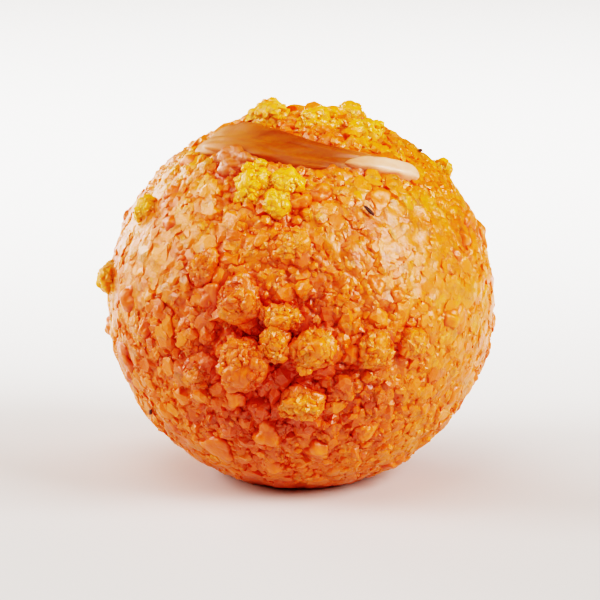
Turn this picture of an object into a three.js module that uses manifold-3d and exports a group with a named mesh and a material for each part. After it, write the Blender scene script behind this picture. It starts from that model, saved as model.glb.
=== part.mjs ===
// A boondi ladoo: fried droplets of gram-flour batter (boondi), bound with syrup and pressed by hand into a ball,
// with a raisin and a melon seed pressed into its top.
//
// Millimetres, +Z up, -Y is the front. The origin is the middle of the flat foot that the ladoo rests on.
// A place on the ball is a longitude (0 at the front, 90 at +X) and a latitude (90 at the top), in degrees.

import * as THREE from "three";
import { ConvexHull } from "three/addons/math/ConvexHull.js";
import { mergeVertices } from "three/addons/utils/BufferGeometryUtils.js";
import Module from "manifold-3d";

// The pressed ball, before its foot is flattened.
const BALL_WIDTH = 46;
const BALL_DEPTH = 45.4;
const BALL_HEIGHT = 45.2;
const FOOT_WIDTH = 17;

// Where palm and fingers have flattened the ball: how deep, and how far from the middle of the dent in degrees.
const HAND_PRESSES = [
  { longitude: 152, latitude: 12, depth: 0.9, spread: 36 },
  { longitude: -118, latitude: -8, depth: 0.7, spread: 34 },
  { longitude: 60, latitude: -30, depth: 0.35, spread: 28 },
  { longitude: -52, latitude: -38, depth: 0.4, spread: 28 },
  { longitude: -70, latitude: 58, depth: 0.4, spread: 22 },
];

// The boondi that make up the surface. Where they are loose they stand apart, elsewhere the hand has pressed them flush.
const BOONDI_PITCH = 4.3;
const BOONDI_WANDER = 0.45; // share of the pitch that a boondi lies away from an even spread
const GROOVE_PRESSED = 0.45; // depth between pressed boondi
const GROOVE_LOOSE = 1.5; // depth between loose ones
const RISE_LOOSE = 0.7; // how far a loose boondi may stand above its neighbours
const SHOULDER_REACH = 0.58; // a boondi's rounded top ends this far from its middle, as a share of its reach
const SHOULDER_DROP = 0.22; // and lies this share of the groove's depth lower
const LOOSE_PATCHES = [
  { longitude: -6, latitude: -14, spread: 27 },
  { longitude: 20, latitude: 80, spread: 20 },
  { longitude: -12, latitude: 44, spread: 12 },
  { longitude: 118, latitude: -22, spread: 24 },
  { longitude: -150, latitude: 30, spread: 22 },
  { longitude: 175, latitude: -38, spread: 20 },
];

// Boondi that stand out of the ball: [longitude, latitude, length, width, height, turn in degrees].
const FRONT_CLUMPS = [
  [-17.5, 11.6, 4.9, 4.6, 3.4, 20],
  [-5.4, 7.1, 4.2, 2.8, 2.8, 5],
  [-17.2, -7.1, 6.6, 5.2, 4.2, 70],
  [-6.9, -0.3, 3.9, 3.1, 3, 80],
  [3.4, -2.6, 5.4, 4.4, 3.6, 65],
  [22.4, -3.1, 4.7, 3.8, 3.2, 75],
  [33.7, -1.8, 3.4, 3.2, 2.8, 0],
  [0.4, -18.8, 4.6, 3.4, 3.8, 10],
  [-31.3, -12.1, 2.7, 2.5, 2.6, 30],
  [-30.3, 19.8, 3.6, 2.8, 2.6, 60],
  [-2.6, 27.2, 3.6, 3, 2.6, 40],
  [-80.5, 9.1, 3.4, 2.6, 3, 85],
  [-37.1, 55.5, 4.8, 3.6, 3, 0],
];
const TOP_CRUMBS = [
  [-48.6, 77.5, 5, 3.8, 4, 20],
  [26.7, 77.2, 5.2, 3.4, 3.4, 10],
  [60.3, 67, 4.4, 3.2, 3, -10],
  [98, 42, 2.6, 2.2, 2.4, 0],
  [-140, 76, 4.2, 3.6, 3.2, 40],
  [110, 74, 4, 3.2, 3, 70],
];
const YELLOW_BOONDI = [
  [-19.3, 45.8, 5.2, 3.8, 3.8, 78],
  [-6.6, 47.4, 3.9, 3.4, 3.4, -20],
  [-8.4, 40.2, 3, 2.8, 2.8, 80],
  [-68.5, 32.3, 2.9, 2.2, 2.4, 85],
];
const CLUMP_STANDS_OUT = 0.42; // share of a clump's height that is above the pressed surface

// Smaller standing boondi all over the ball.
const SCATTERED_COUNT = 40;
const SCATTERED_LENGTH = { least: 2.6, most: 4.2 };
const SCATTERED_STANDS_OUT = 0.3;
const SCATTERED_LOWEST = -52; // latitude: none under the foot
const SCATTERED_CLEARANCE = 6; // from a named clump, the raisin or the seed
const FACET_UNEVENNESS = 0.14; // how far a boondi's corners lie off its oval, as a share of its radius

// The raisin lies in a seat near the top, bowed towards the front, and is blunt and full at its left end.
const RAISIN = {
  left: { longitude: -90, latitude: 61.5 },
  middle: { longitude: 0, latitude: 60.6 },
  right: { longitude: 63, latitude: 52 },
  width: 8.4,
  widthAtLeft: 1.15, // share of the width towards the left end
  widthAtRight: 0.45,
  fullness: 0.6, // below 1 the fullest part lies towards the left end
  thickness: 4.4,
  standsOut: 0.9,
  folds: 5,
  foldDepth: 0.09,
  foldTwist: 1.7,
  stations: 22,
  around: 16,
};
const RAISIN_GAP = 0.35; // between the raisin and its seat

// The melon seed lies flat beside the raisin.
const SEED = {
  left: { longitude: 22.5, latitude: 54.4 },
  right: { longitude: 58, latitude: 45.6 },
  width: 2.6,
  thickness: 1.6,
  standsOut: 0.9,
  stations: 8,
  around: 8,
};

const BOONDI_ORANGE = "#e2781a";
const RAISIN_BROWN = "#a85a1c";

const wasm = await Module();
wasm.setup();

const degrees = THREE.MathUtils.degToRad;

// A repeatable draw from 0 to 1 for one property of one piece.
function draw(piece, property) {
  const wave = Math.sin(piece * 127.1 + property * 311.7 + 74.7) * 43758.5453;
  return wave - Math.floor(wave);
}

function lerp(from, to, share) {
  return from + (to - from) * share;
}

// The unit vector from the ball's middle towards a place on it.
function toward({ longitude, latitude }) {
  const level = Math.cos(degrees(latitude));
  return new THREE.Vector3(
    level * Math.sin(degrees(longitude)),
    -level * Math.cos(degrees(longitude)),
    Math.sin(degrees(latitude)),
  );
}

// 1 in the middle of a patch, falling smoothly to 0 around it.
function patchShare(direction, patch) {
  const away = direction.angleTo(toward(patch)) / degrees(patch.spread);
  return Math.exp(-away * away);
}

// From the ball's middle to the pressed surface.
function pressedRadius(direction) {
  const oval = 2 * Math.hypot(direction.x / BALL_WIDTH, direction.y / BALL_DEPTH, direction.z / BALL_HEIGHT);
  const dents = HAND_PRESSES.map((press) => press.depth * patchShare(direction, press));
  return 1 / oval - dents.reduce((sum, dent) => sum + dent, 0);
}

// 0 where the hand has pressed the boondi flush, 1 where they are loose.
function looseness(direction) {
  return Math.min(1, Math.max(...LOOSE_PATCHES.map((patch) => patchShare(direction, patch))));
}

// Directions spread evenly over the ball along a spiral from the top, each wandering by a share of the spacing.
function evenSpread(count, wander, seed) {
  const goldenTurn = Math.PI * (3 - Math.sqrt(5));
  const spacing = Math.sqrt((4 * Math.PI) / count);
  return Array.from({ length: count }, (_, i) => {
    const z = 1 - (2 * i + 1) / count;
    const level = Math.sqrt(1 - z * z);
    const nudge = new THREE.Vector3(
      draw(i, seed) - 0.5,
      draw(i, seed + 1) - 0.5,
      draw(i, seed + 2) - 0.5,
    ).multiplyScalar(2 * wander * spacing);
    return new THREE.Vector3(level * Math.cos(i * goldenTurn), level * Math.sin(i * goldenTurn), z)
      .add(nudge)
      .normalize();
  });
}

// The geometry of triangles given as triples of points.
function geometryOf(triangles) {
  const geometry = new THREE.BufferGeometry().setFromPoints(triangles.flat());
  return mergeVertices(geometry, 1e-4);
}

function solidOf(geometry) {
  const bare = geometry.clone();
  bare.deleteAttribute("normal");
  bare.deleteAttribute("uv");
  const merged = mergeVertices(bare, 1e-4);
  return new wasm.Manifold(
    new wasm.Mesh({
      numProp: 3,
      vertProperties: new Float32Array(merged.attributes.position.array),
      triVerts: new Uint32Array(merged.index.array),
    }),
  );
}

function geometryFrom(solid) {
  const mesh = solid.getMesh();
  const geometry = new THREE.BufferGeometry();
  geometry.setAttribute("position", new THREE.BufferAttribute(mesh.vertProperties, 3));
  geometry.setIndex(new THREE.BufferAttribute(mesh.triVerts, 1));
  geometry.computeVertexNormals();
  return geometry;
}

// The ball's skin of boondi. Each has a rounded top, and meets its neighbours in grooves that are deepest where
// three of them meet.
function pressedBall() {
  const area = Math.PI * BALL_WIDTH * BALL_DEPTH;
  const hexagon = (BOONDI_PITCH ** 2 * Math.sqrt(3)) / 2;
  const middles = evenSpread(Math.round(area / hexagon), BOONDI_WANDER, 0);
  const number = new Map(middles.map((middle, i) => [middle, i]));
  const hull = new ConvexHull().setFromPoints(middles);

  const depthAt = (direction) => lerp(GROOVE_PRESSED, GROOVE_LOOSE, looseness(direction));
  const riseOf = (middle) => RISE_LOOSE * looseness(middle) * (draw(number.get(middle), 6) - 0.3);
  const surface = (direction, drop) => direction.clone().multiplyScalar(pressedRadius(direction) - drop);

  const junctions = new Map();
  const junction = (face) => {
    if (!junctions.has(face)) {
      const corners = [face.edge.head(), face.edge.next.head(), face.edge.prev.head()];
      const sum = new THREE.Vector3();
      corners.forEach((corner) => sum.add(corner.point));
      junctions.set(face, sum.normalize());
    }
    return junctions.get(face);
  };
  const top = (middle) => surface(middle, -riseOf(middle));
  const shoulder = (middle, face) => {
    const direction = middle.clone().lerp(junction(face), SHOULDER_REACH).normalize();
    return surface(direction, SHOULDER_DROP * depthAt(direction) - riseOf(middle));
  };
  const pit = (face) => surface(junction(face), depthAt(junction(face)));

  const triangles = [];
  for (const face of hull.faces) {
    let edge = face.edge;
    do {
      const middle = edge.head().point;
      const [before, after] = [face, edge.next.twin.face];
      const corners = { near: shoulder(middle, before), far: shoulder(middle, after) };
      triangles.push([top(middle), corners.far, corners.near]);
      triangles.push([corners.near, corners.far, pit(before)]);
      triangles.push([pit(before), corners.far, pit(after)]);
      edge = edge.next;
    } while (edge !== face.edge);
  }
  return solidOf(geometryOf(triangles));
}

// One standing boondi: an uneven oval pebble with few sides, lying on the ball with its length along its turn.
function boondi([longitude, latitude, length, width, height, turn], standsOut, piece) {
  const pebble = mergedPebble();
  const corners = pebble.attributes.position;
  for (let i = 0; i < corners.count; i += 1) {
    const uneven = 1 + FACET_UNEVENNESS * (2 * draw(piece * 61 + i, 9) - 1);
    corners.setXYZ(
      i,
      (corners.getX(i) * uneven * length) / 2,
      (corners.getY(i) * uneven * width) / 2,
      (corners.getZ(i) * uneven * height) / 2,
    );
  }
  const outward = toward({ longitude, latitude });
  const east = new THREE.Vector3(0, 0, 1).cross(outward).normalize();
  const north = outward.clone().cross(east);
  const place = new THREE.Matrix4().makeBasis(east, north, outward);
  place.multiply(new THREE.Matrix4().makeRotationZ(degrees(turn)));
  place.setPosition(outward.multiplyScalar(pressedRadius(outward) + (standsOut - 0.5) * height));
  return solidOf(pebble.applyMatrix4(place));
}

function mergedPebble() {
  const pebble = new THREE.IcosahedronGeometry(1);
  pebble.deleteAttribute("normal");
  pebble.deleteAttribute("uv");
  return mergeVertices(pebble, 1e-4);
}

// A closed piece along a bowed line through places on the ball, at a height over its pressed surface. Its section
// at a share of its length is an oval, given by two half sizes: along the ball's surface and out of it.
function lyingPiece(places, height, stations, around, halfSizes) {
  const course = new THREE.CatmullRomCurve3(places.map(toward));
  const line = new THREE.CatmullRomCurve3(
    course.getPoints(2 * places.length + 2).map((point) => {
      const direction = point.normalize();
      return direction.clone().multiplyScalar(pressedRadius(direction) + height);
    }),
  );
  const ring = (share) => {
    const centre = line.getPointAt(share);
    const along = line.getTangentAt(share);
    const outward = centre.clone().normalize();
    const side = outward.clone().cross(along).normalize();
    const up = along.clone().cross(side);
    return Array.from({ length: around }, (_, i) => {
      const angle = (2 * Math.PI * i) / around;
      const [half, halfUp] = halfSizes(share, angle);
      return centre
        .clone()
        .addScaledVector(side, half * Math.cos(angle))
        .addScaledVector(up, halfUp * Math.sin(angle));
    });
  };
  // Rings lie closer together towards both ends, which are rounded.
  const shares = Array.from({ length: stations }, (_, k) => (1 - Math.cos((Math.PI * (k + 1)) / (stations + 1))) / 2);
  const rings = shares.map(ring);
  const [start, end] = [line.getPointAt(0), line.getPointAt(1)];
  const triangles = [];
  for (let i = 0; i < around; i += 1) {
    const j = (i + 1) % around;
    triangles.push([start, rings[0][j], rings[0][i]]);
    for (let k = 0; k + 1 < stations; k += 1) {
      triangles.push([rings[k][i], rings[k][j], rings[k + 1][j]]);
      triangles.push([rings[k][i], rings[k + 1][j], rings[k + 1][i]]);
    }
    triangles.push([end, rings[stations - 1][i], rings[stations - 1][j]]);
  }
  return solidOf(geometryOf(triangles));
}

// The raisin, with folds along its length, or with a grow over 0 the seat that it needs.
function raisin(grow = 0) {
  const halfSizes = (share, angle) => {
    const taper = Math.sqrt(1 - (2 * share ** RAISIN.fullness - 1) ** 2);
    const across = taper * lerp(RAISIN.widthAtLeft, RAISIN.widthAtRight, share);
    const fold = 1 + RAISIN.foldDepth * Math.cos(RAISIN.folds * angle + RAISIN.foldTwist * Math.sin(5 * share));
    return [
      (RAISIN.width / 2) * across * fold + grow,
      (RAISIN.thickness / 2) * taper * fold + grow,
    ];
  };
  const middle = RAISIN.standsOut - RAISIN.thickness / 2;
  return lyingPiece([RAISIN.left, RAISIN.middle, RAISIN.right], middle, RAISIN.stations, RAISIN.around, halfSizes);
}

// The seed, pointed at its left end and flat.
function melonSeed() {
  const halfSizes = (share) => {
    const taper = Math.sqrt(1 - (2 * share - 1) ** 2) * lerp(0.75, 1.1, share);
    return [(SEED.width / 2) * taper, (SEED.thickness / 2) * taper];
  };
  const middle = SEED.standsOut - SEED.thickness / 2;
  return lyingPiece([SEED.left, SEED.right], middle, SEED.stations, SEED.around, halfSizes);
}

// Even places for the scattered boondi, without those that would meet a named piece or lie under the foot.
function scatteredPlaces() {
  const named = [...FRONT_CLUMPS, ...TOP_CRUMBS, ...YELLOW_BOONDI].map(([longitude, latitude]) =>
    toward({ longitude, latitude }),
  );
  const laid = [RAISIN.left, RAISIN.middle, RAISIN.right, SEED.left, SEED.right].map(toward);
  const clearance = SCATTERED_CLEARANCE / (BALL_WIDTH / 2);
  return evenSpread(SCATTERED_COUNT, BOONDI_WANDER, 20)
    .filter((direction) => [...named, ...laid].every((other) => direction.angleTo(other) > clearance))
    .map((direction) => ({
      longitude: THREE.MathUtils.radToDeg(Math.atan2(direction.x, -direction.y)),
      latitude: THREE.MathUtils.radToDeg(Math.asin(direction.z)),
    }))
    .filter((place) => place.latitude > SCATTERED_LOWEST);
}

function scatteredBoondi() {
  return scatteredPlaces().map(({ longitude, latitude }, i) => {
    const length = lerp(SCATTERED_LENGTH.least, SCATTERED_LENGTH.most, draw(i, 30));
    const width = length * lerp(0.7, 0.95, draw(i, 31));
    const height = length * lerp(0.65, 0.9, draw(i, 32));
    return boondi([longitude, latitude, length, width, height, 180 * draw(i, 33)], SCATTERED_STANDS_OUT, 200 + i);
  });
}

// The height of the ball's middle above its foot.
function middleHeight() {
  return (BALL_HEIGHT / 2) * Math.sqrt(1 - (FOOT_WIDTH / BALL_WIDTH) ** 2);
}

// What is cut away below the foot.
function belowFoot() {
  const block = new THREE.BoxGeometry(2 * BALL_WIDTH, 2 * BALL_WIDTH, BALL_HEIGHT);
  return solidOf(block.translate(0, 0, -middleHeight() - BALL_HEIGHT / 2));
}

function largestOf(solid) {
  return solid.decompose().reduce((most, part) => (part.volume() > most.volume() ? part : most));
}

function boondiBall() {
  const clumps = [...FRONT_CLUMPS, ...TOP_CRUMBS, ...YELLOW_BOONDI];
  const standing = clumps.map((clump, i) => boondi(clump, CLUMP_STANDS_OUT, i));
  const all = wasm.Manifold.union([pressedBall(), melonSeed(), ...standing, ...scatteredBoondi()]);
  return largestOf(all.subtract(raisin(RAISIN_GAP)).subtract(belowFoot()));
}

function namedMesh(name, solid, material) {
  const mesh = new THREE.Mesh(geometryFrom(solid), material);
  mesh.name = name;
  mesh.position.z = middleHeight();
  return mesh;
}

const syrupyBoondi = new THREE.MeshStandardMaterial({ color: BOONDI_ORANGE, roughness: 0.4, metalness: 0 });
const raisinSkin = new THREE.MeshStandardMaterial({ color: RAISIN_BROWN, roughness: 0.35, metalness: 0 });

const ladoo = new THREE.Group();
ladoo.add(namedMesh("boondi_ball", boondiBall(), syrupyBoondi));
ladoo.add(namedMesh("raisin", raisin(), raisinSkin));

export default ladoo;
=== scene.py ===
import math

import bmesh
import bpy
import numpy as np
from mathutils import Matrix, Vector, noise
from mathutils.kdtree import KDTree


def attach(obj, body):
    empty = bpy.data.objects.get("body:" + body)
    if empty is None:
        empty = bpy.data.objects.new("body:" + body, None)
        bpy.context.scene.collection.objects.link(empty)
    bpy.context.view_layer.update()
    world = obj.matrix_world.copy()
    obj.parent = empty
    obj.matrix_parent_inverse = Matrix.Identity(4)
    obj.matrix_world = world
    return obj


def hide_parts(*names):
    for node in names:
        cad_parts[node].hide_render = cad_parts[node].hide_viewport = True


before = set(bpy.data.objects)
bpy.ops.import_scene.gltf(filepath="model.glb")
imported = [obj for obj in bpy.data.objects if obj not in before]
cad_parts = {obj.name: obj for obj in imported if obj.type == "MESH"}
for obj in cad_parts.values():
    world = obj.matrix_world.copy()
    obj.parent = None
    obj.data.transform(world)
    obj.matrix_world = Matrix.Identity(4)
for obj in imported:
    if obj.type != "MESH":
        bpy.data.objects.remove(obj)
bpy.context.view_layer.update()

# A boondi ladoo: fried droplets of gram-flour batter (boondi), bound with syrup and ghee and pressed by hand
# into a ball, with a raisin and a melon seed pressed into its top.
#
# The pieces' sizes are in millimetres and turn to metres in make_piece(). A place on the ball is a longitude
# (0 at the front, -Y, and 90 at +X) and a latitude (90 at the top), in degrees.

MM = 0.001

# The pressed ball, as the solids have it.
BALL_WIDTH = 46
BALL_DEPTH = 45.4
BALL_HEIGHT = 45.2
BALL_RADIUS = BALL_WIDTH / 2
FOOT_WIDTH = 17
MIDDLE_HEIGHT = BALL_HEIGHT / 2 * math.sqrt(1 - (FOOT_WIDTH / BALL_WIDTH) ** 2)

# Where palm and fingers have flattened the ball: longitude, latitude, depth, and spread in degrees.
HAND_PRESSES = [
    (152, 12, 0.9, 36),
    (-118, -8, 0.7, 34),
    (60, -30, 0.35, 28),
    (-52, -38, 0.4, 28),
    (-70, 58, 0.4, 22),
]

# The boondi of the surface. In the loose patches they stand apart, elsewhere the hand pressed them flush.
BOONDI_PITCH = 4.3
BOONDI_WANDER = 0.45
GROOVE_PRESSED = 0.45
GROOVE_LOOSE = 1.5
RISE_LOOSE = 0.7
LOOSE_PATCHES = [  # longitude, latitude, spread in degrees
    (-6, -14, 27),
    (20, 80, 20),
    (-12, 44, 12),
    (118, -22, 24),
    (-150, 30, 22),
    (175, -38, 20),
]

# The hollow that the loose boondi of the front lie in: longitude, latitude, spread in degrees.
HOLLOW = (-8, -4, 20)
HOLLOW_DEPTH = 1

# Where the palm has rubbed the ball smooth: longitude, latitude, spread in degrees.
RUBBED_PATCHES = [
    (32, 25, 24),
    (-58, 12, 18),
    (95, -10, 22),
    (-160, 10, 24),
]

# Boondi that stand out of the ball: longitude, latitude, length, width, height, turn in degrees.
FRONT_CLUMPS = [
    (-17.5, 11.6, 4.9, 4.6, 3.4, 20),
    (-5.4, 7.1, 4.2, 2.8, 2.8, 5),
    (-17.2, -7.1, 6.6, 5.2, 4.2, 70),
    (-6.9, -0.3, 3.9, 3.1, 3, 80),
    (3.4, -2.6, 5.4, 4.4, 3.6, 65),
    (22.4, -3.1, 4.7, 3.8, 3.2, 75),
    (33.7, -1.8, 3.4, 3.2, 2.8, 0),
    (0.4, -18.8, 4.6, 3.4, 3.8, 10),
    (-31.3, -12.1, 2.7, 2.5, 2.6, 30),
    (-30.3, 19.8, 3.6, 2.8, 2.6, 60),
    (-2.6, 27.2, 3.6, 3, 2.6, 40),
]
SUGARED_BOONDI = (-37.1, 55.5, 5.4, 3.8, 3.2, 0)
GOLDEN_CRUMBS = [
    (-80.5, 9.1, 3.4, 2.6, 3, 85),
    (-48.6, 77.5, 5, 3.8, 4, 20),
    (26.7, 77.2, 5.2, 3.4, 3.4, 10),
    (60.3, 67, 4.4, 3.2, 3, -10),
    (98, 42, 2.6, 2.2, 2.4, 0),
    (-140, 76, 4.2, 3.6, 3.2, 40),
    (110, 74, 4, 3.2, 3, 70),
]
YELLOW_BOONDI = [
    (-19.3, 45.8, 5.2, 3.8, 3.8, 78),
    (-6.6, 47.4, 3.9, 3.4, 3.4, -20),
    (-8.4, 40.2, 3, 2.8, 2.8, 80),
    (-68.5, 32.3, 2.9, 2.2, 2.4, 85),
]
CLUMP_STANDS_OUT = 0.42  # share of a clump's height

# Smaller standing boondi all over the ball, and between them broken ones that lie nearly flush. The counts
# are from before clear_places() leaves some out.
SCATTERED_COUNT = 40
SCATTERED_LENGTH = (2.6, 4.2)
SCATTERED_STANDS_OUT = 0.3
SCATTERED_LOWEST = -52  # latitude
SCATTERED_CLEARANCE = 6  # from the middle of a named piece
BROKEN_COUNT = 70
BROKEN_LENGTH = (1.6, 3.4)
BROKEN_STANDS_OUT = 0.2
BROKEN_CLEARANCE = 2.5
BROKEN_FROM_TOPPINGS = 1.2  # from the edges of the raisin and the seed

RAISIN_PLACES = [(-90, 61.5), (0, 60.6), (63, 52)]
RAISIN_WIDTH = 8.4
RAISIN_WIDTH_AT_LEFT = 1.15
RAISIN_WIDTH_AT_RIGHT = 0.45
RAISIN_FULLNESS = 0.6  # below 1, it is widest left of its middle
RAISIN_THICKNESS = 4.4
RAISIN_STANDS_OUT = 0.9
RAISIN_FOLDS = 5
RAISIN_FOLD_DEPTH = 0.09
RAISIN_FOLD_TWIST = 1.7
RAISIN_CREASE_DEPTH = 0.09

SEED_PLACES = [(22.5, 54.4), (58, 45.6)]
SEED_WIDTH = 2.2
SEED_THICKNESS = 1.6
SEED_STANDS_OUT = 0.9

# Slivers of crushed cardamom seed: longitude, latitude, turn in degrees.
CARDAMOM_SLIVERS = [(25.1, 36.8, -55), (-128, 24, 20), (148, -6, 70), (86, 52, -10), (-62, -30, 40)]
SLIVER_SIZE = (1.7, 0.42, 0.3)
SLIVER_MIDDLE = 0.3  # over the pressed surface


# --------------------------------------------------------------------------------------- places on the ball


def draw(piece, part):
    """A repeatable draw from 0 to 1 for one property of one piece, or of an array of them."""
    wave = np.sin(np.asarray(piece) * 127.1 + part * 311.7 + 74.7) * 43758.5453
    return wave - np.floor(wave)


def mix(low, high, share):
    return low + (high - low) * share


def smooth(low, high, value):
    """0 below low, 1 above high, and a smooth rise between them."""
    share = np.clip((value - low) / (high - low), 0, 1)
    return share * share * (3 - 2 * share)


def toward(longitude, latitude):
    """The direction from the ball's middle to a place on it."""
    level = math.cos(math.radians(latitude))
    across = math.radians(longitude)
    return np.array([level * math.sin(across), -level * math.cos(across), math.sin(math.radians(latitude))])


def unit(vectors):
    return vectors / np.linalg.norm(vectors, axis=-1, keepdims=True)


def patch_share(directions, longitude, latitude, spread):
    """1 in the middle of a patch, falling smoothly to 0 around it."""
    away = np.arccos(np.clip(directions @ toward(longitude, latitude), -1, 1)) / math.radians(spread)
    return np.exp(-away * away)


def pressed_radius(directions):
    """From the ball's middle to the pressed surface."""
    oval = 2 * np.linalg.norm(directions / np.array([BALL_WIDTH, BALL_DEPTH, BALL_HEIGHT]), axis=-1)
    dents = sum(depth * patch_share(directions, *place, spread) for *place, depth, spread in HAND_PRESSES)
    return 1 / oval - dents


def rubbed(directions):
    """1 where the palm has rubbed the ball smooth, 0 elsewhere."""
    return np.max([patch_share(directions, *patch) for patch in RUBBED_PATCHES], axis=0)


def looseness(directions):
    """0 where the hand has pressed the boondi flush, 1 where they are loose."""
    return np.max([patch_share(directions, *patch) for patch in LOOSE_PATCHES], axis=0)


def even_spread(count, wander, seed):
    """Directions spread evenly along a spiral from the top, each wandering by a share of the spacing."""
    number = np.arange(count)
    turn = number * math.pi * (3 - math.sqrt(5))
    z = 1 - (2 * number + 1) / count
    level = np.sqrt(1 - z * z)
    nudge = np.stack([draw(number, seed + axis) - 0.5 for axis in range(3)], axis=1)
    spacing = math.sqrt(4 * math.pi / count)
    along_spiral = np.stack([level * np.cos(turn), level * np.sin(turn), z], axis=1)
    return unit(along_spiral + 2 * wander * spacing * nudge)


def cell_area(pitch):
    """The area that each piece takes where pieces this far apart are packed as in a honeycomb."""
    return pitch ** 2 * math.sqrt(3) / 2


def count_for(radius, pitch):
    """How many pieces this far apart cover a ball, and no fewer than 12."""
    return max(12, round(4 * math.pi * radius ** 2 / cell_area(pitch)))


def search_tree(places):
    tree = KDTree(len(places))
    for i, place in enumerate(places):
        tree.insert(place, i)
    tree.balance()
    return tree


# noise_vector() starts from a random draw, which the seed makes the same each run.
NOISE_SEED = 7
noise.seed_set(NOISE_SEED)


def wandering(points, size, amount):
    """Points moved by a smooth noise, so that what is worked out from them bends and frays."""
    return points + amount * np.array([noise.noise_vector(point) for point in points / size])


def resting(points):
    """Points lowered no further than the flat foot."""
    points = points.copy()
    points[:, 2] = np.maximum(points[:, 2], -MIDDLE_HEIGHT)
    return points


# ----------------------------------------------------------------------------------------- relief of grains

# A fried boondi breaks into grains. Their pitch in the relief, from large lumps to grit.
LUMP_PITCH = 2.4
GRAIN_PITCH = 1.5
GRIT_PITCH = 0.95
NEAR_GRAINS = 7


def grains_over(directions, radius, pitch, seed):
    """Oval grains about this far apart all over a round body. Gives how high they stand over its surface
    under each direction, how far the next grain lies below, and a draw for the grain that stands highest."""
    count = count_for(radius, pitch)
    middles = even_spread(count, 0.8, seed)
    number = np.arange(count)
    length = pitch * mix(0.5, 1.0, draw(number, seed + 3))
    width = length * mix(0.6, 1, draw(number, seed + 4))
    turn = math.pi * draw(number, seed + 5)
    height = 0.75 * width
    top = 0.5 * pitch * (draw(number, seed + 6) - 0.75)
    east = unit(np.cross([0, 0, 1], middles))
    north = np.cross(middles, east)
    along = east * np.cos(turn)[:, None] + north * np.sin(turn)[:, None]
    across = np.cross(middles, along)
    tree = search_tree(middles)
    near = np.array([
        [which for _, which, _ in tree.find_n(direction, NEAR_GRAINS)]
        for direction in directions
    ])
    offset = (directions[:, None, :] - middles[near]) * radius
    reach = np.sqrt(
        (np.sum(offset * along[near], axis=2) / length[near]) ** 2
        + (np.sum(offset * across[near], axis=2) / width[near]) ** 2
    )
    dome = np.where(reach < 1, np.sqrt(np.maximum(0, 1 - reach ** 2)) - 1, -1 - 1.5 * (reach - 1))
    heights = top[near] + height[near] * dome
    order = np.argsort(-heights, axis=1)
    best = np.take_along_axis(heights, order, axis=1)
    winner = np.take_along_axis(near, order[:, :1], axis=1)[:, 0]
    return best[:, 0], best[:, 0] - best[:, 1], draw(winner, seed + 7)


def grainy(directions, radius, loose, seed):
    """The relief of broken grains on a boondi surface: its height, the share of painted shade in the gaps and
    low places, and the tone of the grain there. Pressed grains are flattened to facets with pits between,
    loose ones stay rounder."""
    lump, lump_gap, lump_tone = grains_over(directions, radius, LUMP_PITCH, seed)
    grain, grain_gap, grain_tone = grains_over(directions, radius, GRAIN_PITCH, seed + 10)
    grit, _, grit_tone = grains_over(directions, radius, GRIT_PITCH, seed + 20)
    above = lump > grain
    height = np.where(above, lump, grain)
    gap = np.minimum(np.abs(lump - grain), np.where(above, lump_gap, grain_gap))
    tone = np.where(above, lump_tone, grain_tone)
    facet = mix(-0.35, 0.4, loose)
    height = np.where(height > facet, facet + mix(0.22, 0.6, loose) * (height - facet), height)
    height = np.maximum(height, -1.5) + 0.3
    # Painted shade: darker in the gaps between grains and where the relief lies low.
    painted_shade = 0.35 * (1 - smooth(0, 0.3, gap)) + 0.7 * smooth(0.1, 0.9, -height)
    relief = mix(0.45, 0.9, loose) * height + mix(0.4, 0.6, loose) * np.maximum(grit, -0.7)
    return relief + mix(0.16, 0, loose), painted_shade, 0.45 * tone + 0.55 * grit_tone


# --------------------------------------------------------------------------------------------------- meshes


def make_piece(name, points, faces, layers=None, angular=False):
    """A mesh from points in mm around the ball's middle, smooth-shaded unless it is angular. Each layer
    holds a number for each point."""
    mesh = bpy.data.meshes.new(name)
    placed = (points + np.array([0, 0, MIDDLE_HEIGHT])) * MM
    mesh.from_pydata(placed, [], faces)
    if not angular:
        mesh.shade_smooth()
    for layer, values in (layers or {}).items():
        mesh.attributes.new(layer, "FLOAT", "POINT").data.foreach_set("value", values.astype(np.float32))
    piece = bpy.data.objects.new(name, mesh)
    bpy.context.scene.collection.objects.link(piece)
    return piece


def mesh_arrays(form):
    """A bmesh's corners as an array and its faces as lists of corner numbers."""
    form.verts.index_update()
    points = np.array([corner.co for corner in form.verts])
    faces = [[corner.index for corner in face.verts] for face in form.faces]
    form.free()
    return points, faces


def round_skin(rows):
    """Directions and faces of a ball divided like a cube with this many rows of faces to a side."""
    form = bmesh.new()
    bmesh.ops.create_cube(form, size=2)
    bmesh.ops.subdivide_edges(form, edges=form.edges[:], cuts=rows - 1, use_grid_fill=True)
    points, faces = mesh_arrays(form)
    return unit(np.tan(points * math.pi / 4)), faces


def pebble_form(fineness):
    """Directions and faces of a ball of triangles: 20 at a fineness of 1, four times as many each step up."""
    form = bmesh.new()
    bmesh.ops.create_icosphere(form, subdivisions=fineness, radius=1)
    return mesh_arrays(form)


def joined(parts):
    """One set of points, faces and layers from several."""
    points = np.concatenate([part_points for part_points, _, _ in parts])
    layers = {name: np.concatenate([part[2][name] for part in parts]) for name in parts[0][2]}
    faces = []
    before = 0
    for part_points, part_faces, _ in parts:
        faces.extend([[corner + before for corner in face] for face in part_faces])
        before += len(part_points)
    return points, faces, layers


# --------------------------------------------------------------------------------------------- pressed mass

CORE_ROWS = 128


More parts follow.
